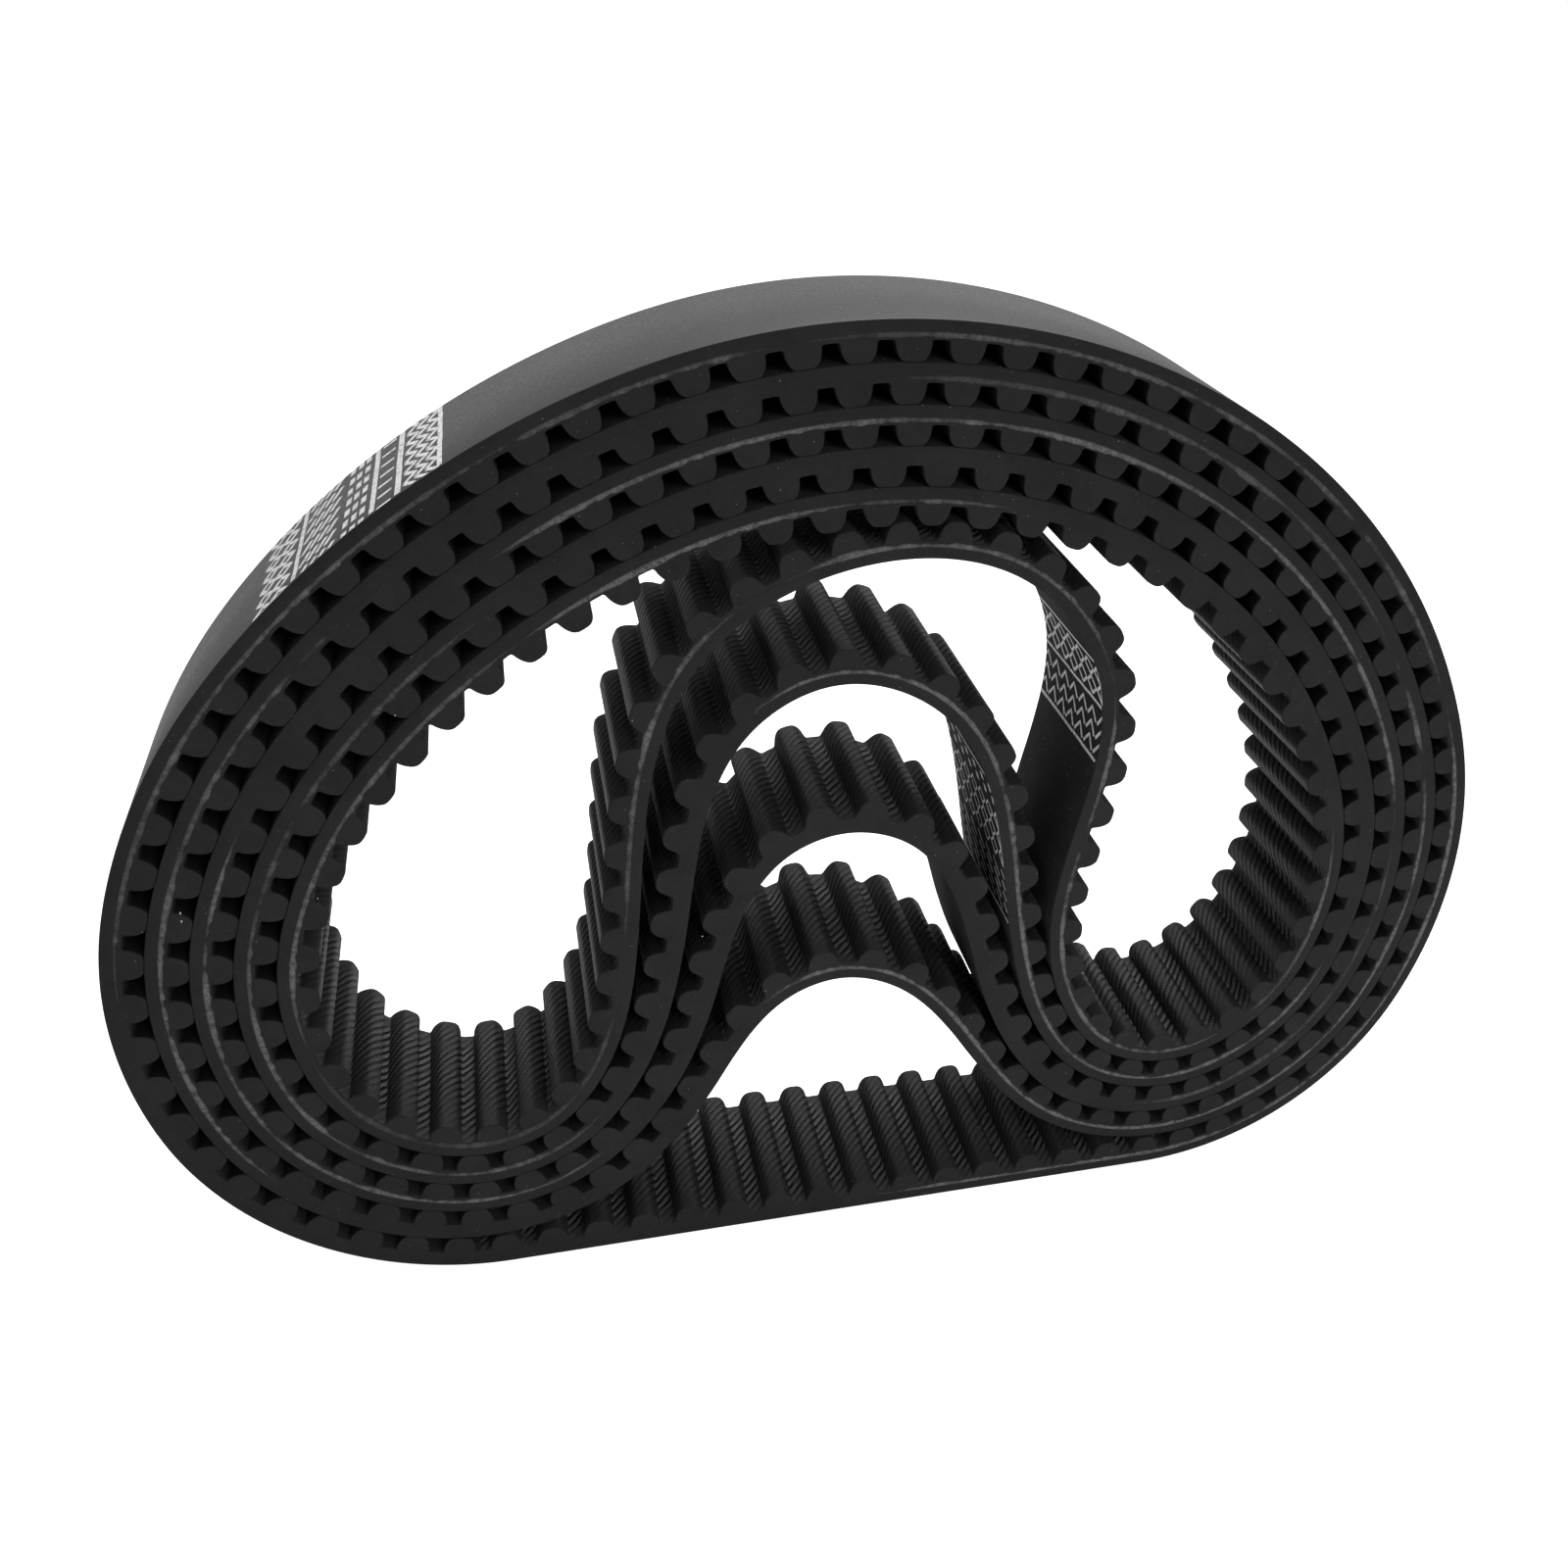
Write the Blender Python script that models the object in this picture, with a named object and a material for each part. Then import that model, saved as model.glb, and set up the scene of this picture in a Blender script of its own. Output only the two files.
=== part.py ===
"""Five identical toothed timing belts, nested one inside the other and standing on edge.

Every belt is an endless loop of TEETH rounded teeth at PITCH. The outermost loop is an
egg-like ring with a flat bottom run. Each inner loop follows it all round, and folds what
it has too much of upward into an arch between two tight curls. The outline of each loop is
worked out so that its pitch line has exactly the belt's length.

The loops lie in the XZ plane, clockwise seen from -Y, and the belts' width runs along Y.
The script gives all outline sizes in millimetres and the model in metres.
"""
import math

import bmesh
import bpy
import numpy as np

MM = 0.001

# ---- the belt itself -----------------------------------------------------------------
TEETH = 78
PITCH = 8.0             # tooth spacing on the pitch line, at the middle of the cord
WIDTH = 30.0
COVER = 1.83            # back rubber outside the cord
CORD = 0.58             # tensile cord layer
BOND = 0.04             # parting line between two layers
WEB = 0.41              # rubber and fabric between the cord and the land
TOOTH_HEIGHT = 3.08     # from the land between two teeth to a tooth's tip
TOOTH_ROOT = 5.6        # a tooth's width at the land
TOOTH_WAIST = 4.6       # its width where the flank starts to round over
TOOTH_CREST = 2.2       # its flat crest
WAIST_HEIGHT = 2.0

CORD_DEPTH = COVER + BOND
TOOTH_DEPTH = CORD_DEPTH + CORD + BOND      # where the tooth layer starts
LAND_DEPTH = TOOTH_DEPTH + WEB
THICKNESS = LAND_DEPTH + TOOTH_HEIGHT
PITCH_DEPTH = CORD_DEPTH + CORD / 2

# ---- how the belts lie ---------------------------------------------------------------
BELTS = 5
NEST_GAP = 0.05         # tooth crest of one belt to the back of the next
LAYER = THICKNESS + NEST_GAP
LOOP = TEETH * PITCH + 2 * math.pi * PITCH_DEPTH    # length of one belt's back face

# The outermost loop's back: tangent arcs (radius, turn in degrees) from the left foot,
# clockwise. The last turn is what is left of the full circle, and the closing arc's
# radius is fitted so that the right foot is level with the left one.
WRAP_RADII = (53.25, 70.25, 99.75, 140.75, 111.25, 78.25, 54.75)
WRAP_TURNS = (72.0, 35.0, 23.0, 30.0, 90.0, 43.0, 67.0)
CLOSING_ARC = 5

# The curls at the feet of the folded loops: radius on the outermost back, and the angle
# past the bottom where the curl takes over from the wrap.
CURL_LEFT = (45.75, 22.0)
CURL_RIGHT = (46.75, 20.5)
# Per belt, the angle past the bottom where its fold leaves each curl.
LEAVE_RIGHT = {2: 44.0, 3: 50.5, 4: 53.5, 5: 54.5}
LEAVE_LEFT = {2: 46.0, 3: 45.5, 4: 48.5, 5: 50.0}
# Per belt, the points (x, z) that its fold passes, from the right curl to the left one.
ARCH = {
    2: ((20.3, 34.2), (6.4, 49.7), (-2.0, 52.2), (-9.9, 50.2), (-25.3, 30.7)),
    3: ((22.7, 47.7), (7.9, 78.1), (-1.5, 80.6), (-9.9, 78.1), (-24.7, 47.7)),
    4: ((26.2, 66.7), (13.3, 101.0), (-3.5, 107.0), (-14.8, 102.0), (-27.7, 66.2)),
    5: ((34.7, 58.1), (39.4, 104.8), (24.8, 123.4), (-21.6, 115.1), (-34.4, 74.0)),
}
FOLD_GAP = 0.12         # least gap from a fold's teeth to those of its own top run
# Where each belt's first tooth sits, along its pitch line from the left foot.
FIRST_TOOTH = {1: 1.0, 2: 4.2, 3: 4.6, 4: 0.3, 5: 6.8}

STEP = 0.5              # point spacing on the smooth outlines that all others follow
SAG = 0.05              # how far a facet may lie inside the smooth outline

RUBBER = (0.021, 0.021, 0.022, 1.0)
FACED_RUBBER = (0.026, 0.026, 0.027, 1.0)
CORD_COLOUR = (0.19, 0.18, 0.16, 1.0)


# ---- plane geometry ------------------------------------------------------------------
def unit(angle):
    return np.array([math.cos(angle), math.sin(angle)])


def arc(centre, radius, start, end):
    """Points of a clockwise arc, without its last one."""
    count = max(2, math.ceil(abs(end - start) * radius / STEP))
    return np.array([centre + radius * unit(a) for a in np.linspace(start, end, count + 1)[:-1]])


def smooth(points, start_way, end_way):
    """A curve of continuous bend through the points, without its last one."""
    points = np.asarray(points, float)
    span = np.hypot(*np.diff(points, axis=0).T)
    size = len(points)
    system, target = np.eye(size), np.zeros((size, 2))
    target[0], target[-1] = start_way, end_way
    for i in range(1, size - 1):
        before, after = span[i - 1], span[i]
        system[i, i - 1:i + 2] = after, 2 * (before + after), before
        target[i] = 3 * (after / before * (points[i] - points[i - 1])
                         + before / after * (points[i + 1] - points[i]))
    way = np.linalg.solve(system, target)
    pieces = []
    for i in range(size - 1):
        u = np.linspace(0, 1, max(3, int(span[i] / STEP)), endpoint=False)[:, None]
        pieces.append((2 * u**3 - 3 * u**2 + 1) * points[i]
                      + (u**3 - 2 * u**2 + u) * span[i] * way[i]
                      + (3 * u**2 - 2 * u**3) * points[i + 1]
                      + (u**3 - u**2) * span[i] * way[i + 1])
    return np.vstack(pieces)


def steps(loop):
    return np.hypot(*(np.roll(loop, -1, 0) - loop).T)


def inward(loop):
    """Unit normals that point to the inside of a clockwise loop."""
    way = np.roll(loop, -1, 0) - np.roll(loop, 1, 0)
    way /= np.hypot(way[:, 0], way[:, 1])[:, None]
    return np.c_[way[:, 1], -way[:, 0]]


# ---- the loops' backs ----------------------------------------------------------------
def chain(arcs):
    """Tangent clockwise arcs (radius, turn) from the left foot, which heads along -X.

    Returns (centre, radius, first angle, turn) of each arc, and the end point."""
    point, heading, placed = np.zeros(2), math.pi, []
    for radius, turn in arcs:
        centre = point + radius * unit(heading - math.pi / 2)
        placed.append((centre, radius, heading + math.pi / 2, turn))
        heading -= turn
        point = centre + radius * unit(heading + math.pi / 2)
    return placed, point


def wrap():
    """The outermost back: its arcs, its left and right foot and its scale."""
    turns = [math.radians(turn) for turn in WRAP_TURNS]
    turns[-1] = 2 * math.pi - sum(turns[:-1])

    def rise(extra):
        radii = [r + extra * (i == CLOSING_ARC) for i, r in enumerate(WRAP_RADII)]
        return chain(zip(radii, turns))[1][1], radii

    level = rise(0.0)[0]
    radii = rise(level / (level - rise(1.0)[0]))[1]
    arcs, right = chain(zip(radii, turns))
    scale = LOOP / (sum(r * turn for r, turn in zip(radii, turns)) + right[0])
    sides = [centre[0] + side * radius for centre, radius, first, turn in arcs for side in (-1, 1)
             if (first - math.pi * (side < 0)) % (2 * math.pi) <= turn]
    middle = np.array([scale * (min(sides) + max(sides)) / 2, 0.0])
    arcs = [(c * scale - middle, r * scale, first, turn) for c, r, first, turn in arcs]
    return arcs, -middle, right * scale - middle, scale


def back(belt):
    """The smooth back of one belt in pieces that join into a clockwise loop."""
    arcs, left, right, scale = wrap()
    if belt == 1:
        run = np.linspace(right, left, int((right - left)[0] / STEP), endpoint=False)
        return [arc(c, r, first, first - turn) for c, r, first, turn in arcs] + [run]
    inset, down = LAYER * (belt - 1), -math.pi / 2
    left_radius, left_turn = CURL_LEFT[0] * scale, math.radians(CURL_LEFT[1])
    right_radius, right_turn = CURL_RIGHT[0] * scale, math.radians(CURL_RIGHT[1])
    left_centre = arcs[0][0] + (arcs[0][1] - left_radius) * unit(down - left_turn)
    right_centre = arcs[-1][0] + (arcs[-1][1] - right_radius) * unit(down + right_turn)
    pieces = []
    for i, (centre, radius, first, turn) in enumerate(arcs):
        start = first - left_turn * (i == 0)
        end = first - turn + right_turn * (i == len(arcs) - 1)
        pieces.append(arc(centre, radius - inset, start, end))
    leave = down - math.radians(LEAVE_RIGHT[belt])
    meet = down + math.radians(LEAVE_LEFT[belt])
    pieces.append(arc(right_centre, right_radius - inset, down + right_turn, leave))
    left_curl = arc(left_centre, left_radius - inset, meet, down - left_turn)
    fold_start = right_centre + (right_radius - inset) * unit(leave)
    crown = max(z for x, z in ARCH[belt])
    foot = (right_centre[1] - right_radius + inset) / scale
    ends = [f(x for x, z in ARCH[belt]) for f in (min, max)]

    def folded(lift, spread):
        """The whole loop with its fold's crown raised and its sides moved out by so much."""
        rows = [np.array([x * scale + spread * (2 * x - sum(ends)) / (ends[1] - ends[0]),
                          z * scale + lift * (z - foot) / (crown - foot)]) for x, z in ARCH[belt]]
        fold = smooth([fold_start] + rows + [left_curl[0]],
                      unit(leave - math.pi / 2), unit(meet - math.pi / 2))
        return pieces + [fold, left_curl]

    lift = fitted(lambda more: folded(more, 0.0), crown)
    spread = 0.0
    while fold_room(folded(lift, spread), belt) < FOLD_GAP:
        lift -= STEP / 2
        spread = fitted(lambda more: folded(lift, more), crown)
    return folded(lift, spread)


def fitted(shape, reach):
    """How much more of a shape's one measure brings its outline to the belt's length."""
    low, high = -reach, reach
    for _ in range(40):
        middle = (low + high) / 2
        if steps(np.vstack(shape(middle))).sum() < LOOP:
            low = middle
        else:
            high = middle
    return (low + high) / 2


def fold_room(pieces, belt):
    """The least gap between a fold's teeth and its own top run's, below 0 if they cross."""
    loop = np.vstack(pieces)
    wrapped = steps(loop)[:sum(len(piece) for piece in pieces[:-2])].sum() / LOOP
    outline = toothed(loop, belt)
    share = np.linspace(0, 1, math.ceil(TOOTH_ROOT / STEP), endpoint=False)[:, None, None]
    way = np.roll(outline, -1, 0) - outline
    points = (outline + share * way).transpose(1, 0, 2)
    normals = np.c_[way[:, 1], -way[:, 0]] / steps(outline)[:, None]
    cut = round(wrapped * len(points))
    tip = points[cut:, :, 1].max()
    upper, lower = (np.argwhere(half[:, :, 1] > tip - 2 * TOOTH_HEIGHT) + [first, 0]
                    for half, first in ((points[:cut], 0), (points[cut:], cut)))
    apart = points[tuple(lower.T)][:, None] - points[tuple(upper.T)]
    near = np.hypot(apart[..., 0], apart[..., 1])
    nearest = near.argmin(1)
    rows = np.arange(len(lower))
    side = (apart[rows, nearest] * normals[upper[nearest, 0]]).sum(1)
    return (near[rows, nearest] * np.sign(side)).min()


# ---- one belt's outlines -------------------------------------------------------------
def stations(pieces):
    """Indices into the joined pieces that keep a facet within SAG of the smooth line."""
    loop, picked, offset = np.vstack(pieces), [], 0
    way = np.roll(loop, -1, 0) - loop
    heading = np.arctan2(way[:, 1], way[:, 0])
    turn = np.abs((heading - np.roll(heading, 1) + math.pi) % (2 * math.pi) - math.pi)
    turn = (turn + np.roll(turn, -1)) / 2
    need = np.sqrt(turn * steps(loop) / (8 * SAG))
    for piece in pieces:
        tally = np.cumsum(np.r_[0.0, need[offset:offset + len(piece) - 1]])
        count = max(1, round(tally[-1]))
        wanted = np.linspace(0, tally[-1], count, endpoint=False)
        picked += [offset + i for i in np.searchsorted(tally, wanted)]
        offset += len(piece)
    return sorted(set(picked))


def at(loop, depth, places):
    """Points and inward normals at a depth below the back, at places on the pitch line."""
    normals = inward(loop)
    measure = steps(loop + PITCH_DEPTH * normals)
    along = np.r_[0.0, np.cumsum(measure)]
    places = np.asarray(places) * along[-1] / (TEETH * PITCH) % along[-1]
    rows = np.c_[loop, normals]
    rows = np.vstack([rows, rows[:1]])
    rows = np.array([np.interp(places, along, column) for column in rows.T]).T
    return rows[:, :2] + depth * rows[:, 2:], rows[:, 2:]


def toothed(loop, belt):
    """The toothed face: a root at each side of a tooth, then its waist and its crest."""
    centres = FIRST_TOOTH[belt] + PITCH * np.arange(TEETH)
    feet, ways = at(loop, LAND_DEPTH, centres)
    starts = at(loop, LAND_DEPTH, centres - TOOTH_ROOT / 2)[0]
    ends = at(loop, LAND_DEPTH, centres + TOOTH_ROOT / 2)[0]
    profile = ((-TOOTH_WAIST / 2, WAIST_HEIGHT), (-TOOTH_CREST / 2, TOOTH_HEIGHT),
               (TOOTH_CREST / 2, TOOTH_HEIGHT), (TOOTH_WAIST / 2, WAIST_HEIGHT))
    outline = []
    for foot, way, start, end in zip(feet, ways, starts, ends):
        along = np.array([-way[1], way[0]])
        outline += [start] + [foot + x * along + z * way for x, z in profile] + [end]
    return np.array(outline)


# ---- Blender objects -----------------------------------------------------------------
def material(name, colour, roughness):
    made = bpy.data.materials.new(name)
    made.use_nodes = True
    shader = made.node_tree.nodes["Principled BSDF"]
    shader.inputs["Base Color"].default_value = colour
    shader.inputs["Roughness"].default_value = roughness
    shader.inputs["Metallic"].default_value = 0.0
    return made


def ring(name, outer, inner, look, holder):
    """A ring between two closed outlines, as wide as the belt, as one closed mesh."""
    flat = bpy.data.curves.new(name, "CURVE")
    flat.dimensions = "2D"
    flat.fill_mode = "BOTH"
    flat.extrude = WIDTH / 2 * MM
    for outline in (outer, inner):
        spline = flat.splines.new("POLY")
        spline.points.add(len(outline) - 1)
        for point, (x, z) in zip(spline.points, outline):
            point.co = (x * MM, z * MM, 0.0, 1.0)
        spline.use_cyclic_u = True
    drawn = bpy.data.objects.new(name + "_outline", flat)
    bpy.context.scene.collection.objects.link(drawn)
    bpy.context.view_layer.update()
    mesh = bpy.data.meshes.new_from_object(drawn.evaluated_get(bpy.context.evaluated_depsgraph_get()))
    bpy.data.objects.remove(drawn)
    bpy.data.curves.remove(flat)
    shape = bmesh.new()
    shape.from_mesh(mesh)
    bmesh.ops.remove_doubles(shape, verts=shape.verts, dist=0.01 * MM)
    bmesh.ops.recalc_face_normals(shape, faces=shape.faces)
    shape.to_mesh(mesh)
    shape.free()
    mesh.name = name
    mesh.materials.clear()
    mesh.materials.append(look)
    piece = bpy.data.objects.new(name, mesh)
    piece.rotation_euler = (math.pi / 2, 0, 0)
    piece.parent = holder
    bpy.data.collections["timing_belts"].objects.link(piece)
    return piece


def build_belt(belt, looks):
    """One belt: back cover, tensile cord and toothed layer, held by an empty."""
    pieces = back(belt)
    loop = np.vstack(pieces)
    normals = inward(loop)
    picked = stations(pieces)

    def parallel(depth):
        return (loop + depth * normals)[picked]

    holder = bpy.data.objects.new(f"belt_{belt}_slide", None)
    holder.empty_display_size = WIDTH * MM
    bpy.data.collections["timing_belts"].objects.link(holder)
    ring(f"belt_{belt}_cover", parallel(0.0), parallel(COVER), looks["cover"], holder)
    ring(f"belt_{belt}_cord", parallel(CORD_DEPTH), parallel(CORD_DEPTH + CORD), looks["cord"], holder)
    ring(f"belt_{belt}_teeth", parallel(TOOTH_DEPTH), toothed(loop, belt), looks["teeth"], holder)


def main():
    for old in list(bpy.data.objects):
        bpy.data.objects.remove(old)
    bpy.context.scene.collection.children.link(bpy.data.collections.new("timing_belts"))
    for belt in range(1, BELTS + 1):
        looks = {"cover": material(f"belt_{belt}_cover", RUBBER, 0.55),
                 "cord": material(f"belt_{belt}_cord", CORD_COLOUR, 0.8),
                 "teeth": material(f"belt_{belt}_teeth", FACED_RUBBER, 0.7)}
        build_belt(belt, looks)


if __name__ == "__main__":
    main()
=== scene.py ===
import math

import bmesh
import bpy
import numpy as np
from bpy.props import FloatProperty, FloatVectorProperty, IntProperty, PointerProperty
from bpy.types import Operator, Panel, PropertyGroup
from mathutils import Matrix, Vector


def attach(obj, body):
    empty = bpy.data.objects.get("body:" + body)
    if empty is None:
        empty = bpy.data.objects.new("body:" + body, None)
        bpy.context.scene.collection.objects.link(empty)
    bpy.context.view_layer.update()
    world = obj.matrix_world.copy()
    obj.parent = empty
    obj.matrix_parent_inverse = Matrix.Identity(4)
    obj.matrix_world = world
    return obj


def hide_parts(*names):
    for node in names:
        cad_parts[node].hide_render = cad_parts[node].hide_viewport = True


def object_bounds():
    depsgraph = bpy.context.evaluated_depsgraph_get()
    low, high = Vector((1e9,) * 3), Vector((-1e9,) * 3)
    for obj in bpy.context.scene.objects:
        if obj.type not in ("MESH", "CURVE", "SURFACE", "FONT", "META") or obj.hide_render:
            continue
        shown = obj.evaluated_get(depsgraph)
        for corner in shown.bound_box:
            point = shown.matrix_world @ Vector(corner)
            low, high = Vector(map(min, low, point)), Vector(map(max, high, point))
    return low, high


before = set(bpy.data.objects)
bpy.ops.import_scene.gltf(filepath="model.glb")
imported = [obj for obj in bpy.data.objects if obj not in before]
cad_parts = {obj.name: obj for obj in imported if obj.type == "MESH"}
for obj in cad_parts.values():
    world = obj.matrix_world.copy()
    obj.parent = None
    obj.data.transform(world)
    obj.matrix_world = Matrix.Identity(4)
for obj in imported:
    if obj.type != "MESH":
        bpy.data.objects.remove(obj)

bl_info = {
    "name": "Nested Timing Belts",
    "version": (1, 0, 0),
    "blender": (4, 5, 0),
    "location": "View3D > Sidebar > Timing belts",
    "description": "Dresses five nested rubber timing belts and sets up their studio",
    "category": "Object",
}

# Lengths are in mm unless a comment says otherwise.
MM = 0.001
BELTS = (1, 2, 3, 4, 5)         # from the outermost loop to the innermost
TEETH = 78
PITCH = 8.0
LOOP = TEETH * PITCH
CAD_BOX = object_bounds()
NEAR, FAR = (corner.y / MM for corner in CAD_BOX)

STRAIGHT = 40.0                 # a CAD facet longer than this is a straight run
FINE_STEP = 0.15                # between points of the smooth line of a back
SPARSE = 3                      # every third of them is enough to find the nearest one
STATIONS = np.arange(0.0, LOOP, 1.0)    # places along a belt at which its band has a section
WELD = 0.001                    # corners of a CAD solid closer than this are one
CUT_DEPTH = 0.01                # a corner this close to the near face is on it
RIM_SLANT = 1.5                 # where the normals of two faces have less of Y together, one of
                                # them isn't in the cut, so their edge is on its rim
LEVEL = 0.02                    # a corner this close to the lowest one stands on the floor
FLAT_TOP = 8.0                  # the outermost belt's run on the floor lies below this height,
FLAT_HALF = 20.0                # and is flat this far to both sides of its middle
NEAR_CREST = 0.12               # a corner this close to the crests' depth is on a crest
BEARING = 0.3                   # a tooth this close to the next belt's back bears on it
ROOT_HEIGHT = 0.9               # above it a tooth keeps its shape where its belt bends
QUARTER_ROUND = 0.29            # share of a radius at the middle point of its rounding
CREASE = math.radians(28)       # an edge sharper than this stays sharp
SEAM = 1e-8                     # m, between points that close a skin
CUT_SLANT = 0.6                 # a face whose normal has more of Y than this is a cut edge

# Runs of each belt's cut edges along which the cord shows: start and end along the pitch line
# from the left foot, and how bright the yarn is there. The far edge has them half a loop on.
YARN_RUNS = {
    1: ((90, 240, 0.65), (240, 380, 0.5), (380, 560, 1.0)),
    2: ((35, 155, 0.75), (230, 337, 0.3), (337, 560, 1.0)),
    3: ((604, 723, 0.85), (154, 349, 0.85), (349, 434, 0.3)),
    4: ((599, 755, 0.65), (345, 522, 1.0)),
    5: ((38, 118, 0.55), (118, 196, 0.9), (288, 338, 0.5), (338, 438, 1.0),
        (438, 508, 0.7), (508, 578, 0.5), (583, 662, 0.25)),
}

STRAND_SIDES = 6
STRAND_STEP = 0.45              # between two sections of the yarn's strand
STRAND_FADE = 12.0              # a run thins out over this length at both ends
STRAND_TWIST = 0.95             # between two humps of the twisted strand
STRAND_LOW = 0.005              # its highest humps stay this far inside the CAD face

# Ornament stamped on the backs, in rows this far apart across the belt. Each band has its
# mark, the place of its first mark, how many there are and how far apart, a mark's length
# along and reach across the belt, and the width of its stroke.
PRINT_ROW = 4.7
PRINT_ROWS = np.arange(-14.7, 17.0, PRINT_ROW)
PRINT_MARGIN = 0.15             # bare strip along both edges of a back
PRINT_STEP = 0.6                # between two rungs of a stroke
PRINT_SCATTER = 0.04            # how far a mark strays from its place
FILM = 0.8                      # share of the ink's height that its film fills
PRINTS = {
    1: (("lozenge", 156.7, 2, 3.3, 3.0, 3.7, 0.95), ("line", 163.9, 1, 0.0, 0.9, PRINT_ROW, 0.9),
        ("slant", 165.3, 4, 1.6, 1.6, 3.4, 0.8), ("dash", 173.2, 3, 1.5, 0.95, 0.0, 2.6),
        ("line", 178.0, 1, 0.0, 0.9, PRINT_ROW, 0.9), ("dash", 179.3, 1, 0.0, 2.4, 0.0, 0.9),
        ("line", 182.3, 1, 0.0, 1.0, PRINT_ROW, 1.0),
        ("arrow", 183.9, 3, 1.8, 1.7, 4.3, 0.85), ("line", 189.2, 1, 0.0, 0.8, PRINT_ROW, 0.8)),
    4: (("line", 440.9, 1, 0.0, 0.8, PRINT_ROW, 0.6), ("slant", 442.5, 4, 2.3, 2.2, 3.2, 0.5),
        ("lozenge", 453.0, 3, 3.8, 3.4, 3.8, 0.5), ("dash", 465.8, 2, 2.6, 1.5, 0.0, 1.2),
        ("line", 471.6, 1, 0.0, 0.8, PRINT_ROW, 0.6)),
    5: (("line", 424.1, 1, 0.0, 0.8, PRINT_ROW, 0.6), ("arrow", 425.4, 3, 2.7, 2.2, 4.0, 0.6),
        ("line", 434.2, 1, 0.0, 0.8, PRINT_ROW, 0.6), ("lozenge", 435.6, 2, 3.9, 3.5, 4.2, 0.6),
        ("line", 443.8, 1, 0.0, 0.8, PRINT_ROW, 0.6)),
}

# Crumbs of lint by belt: place along it, depth below its back, distance in from the near
# edge and size.
LINT = {
    1: ((545.5, 3.4, 1.6, 0.9), (543.9, 3.0, 1.2, 0.6), (539.0, 3.4, 0.5, 0.9),
        (529.5, 3.0, 2.4, 0.5), (571.0, 3.0, 3.8, 0.4)),
    2: ((92.6, 4.5, 0.2, 0.6), (94.0, 4.1, 0.2, 0.4), (113.1, 5.0, 0.2, 0.35), (181.0, 4.2, 0.2, 0.3)),
    3: ((557.1, 5.2, 0.2, 0.45), (262.0, 1.2, 0.2, 0.3)),
    4: ((111.7, 4.5, 0.2, 0.45), (498.0, 4.4, 0.2, 0.3)),
    5: ((66.0, 3.6, 0.2, 0.3), (352.0, 5.0, 2.0, 0.45)),
}

# The camera's place in m, its turn in degrees and its shift, and the soft boxes: the setting
# that holds a box's power, its width, place and aim in m, and the height of a strip box.
CAMERA_PLACE = (-0.05003, -0.2360, 0.21127)
CAMERA_TURN = (61.135, -3.048, -15.93)
CAMERA_SHIFT = (-0.123, 0.01375)
SOFT_BOXES = (
    ("overhead", 0.7, (0.15, 0.25, 0.95), (0.0, 0.0, 0.08), None),
    ("front", 0.4, (0.25, -0.72, 0.5), (0.0, 0.0, 0.06), None),
    ("low", 0.3, (0.02, -0.17, 0.005), (0.0, 0.0, 0.05), 0.03),
)
FLOOR_RADIUS = 6.0              # m
FLOOR_DROP = 0.0001             # m, so that it doesn't lie in the belts' lowest face


# ---- lines read from the CAD solids ----------------------------------------------------
def cut_outlines(node):
    """The closed outlines of a CAD solid's near cut face in mm, largest first, clockwise."""
    shape = bmesh.new()
    shape.from_mesh(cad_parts[node].data)
    bmesh.ops.remove_doubles(shape, verts=shape.verts, dist=WELD * MM)
    near = min(vert.co.y for vert in shape.verts) + CUT_DEPTH * MM
    beside = {}
    for edge in shape.edges:
        a, b = edge.verts
        faces = edge.link_faces
        slant = abs(faces[0].normal.y) + abs(faces[1].normal.y)
        if max(a.co.y, b.co.y) < near and slant < RIM_SLANT:
            beside.setdefault(a, []).append(b)
            beside.setdefault(b, []).append(a)
    outlines = []
    while beside:
        line = [next(iter(beside))]
        before = None
        while True:
            ahead = next((v for v in beside[line[-1]] if v is not before), None)
            before = line[-1]
            if ahead is line[0] or ahead is None:
                break
            line.append(ahead)
        for vert in line:
            del beside[vert]
        outlines.append(np.array([(vert.co.x / MM, vert.co.z / MM) for vert in line]))
    shape.free()
    outlines = [line if area(line) < 0 else line[::-1] for line in outlines]
    return sorted(outlines, key=area)


def area(line):
    """Area inside a closed line: negative where it runs clockwise."""
    after = np.roll(line, -1, 0)
    return (line[:, 0] * after[:, 1] - after[:, 0] * line[:, 1]).sum() / 2


def layer_depths():
    """Depths below the back, read where the outermost belt lies flat: the cord's middle, the
    land between two teeth and a tooth's tip."""
    cord = cut_outlines("belt_1_cord")
    teeth = cut_outlines("belt_1_teeth")[-1]
    low = teeth[teeth[:, 1] < FLAT_TOP]
    flat = low[np.abs(low[:, 0]) < FLAT_HALF]
    return (cord[0][:, 1].min() + cord[-1][:, 1].min()) / 2, flat[:, 1].min(), flat[:, 1].max()


CORD_MIDDLE, LAND, CREST = layer_depths()


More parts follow.
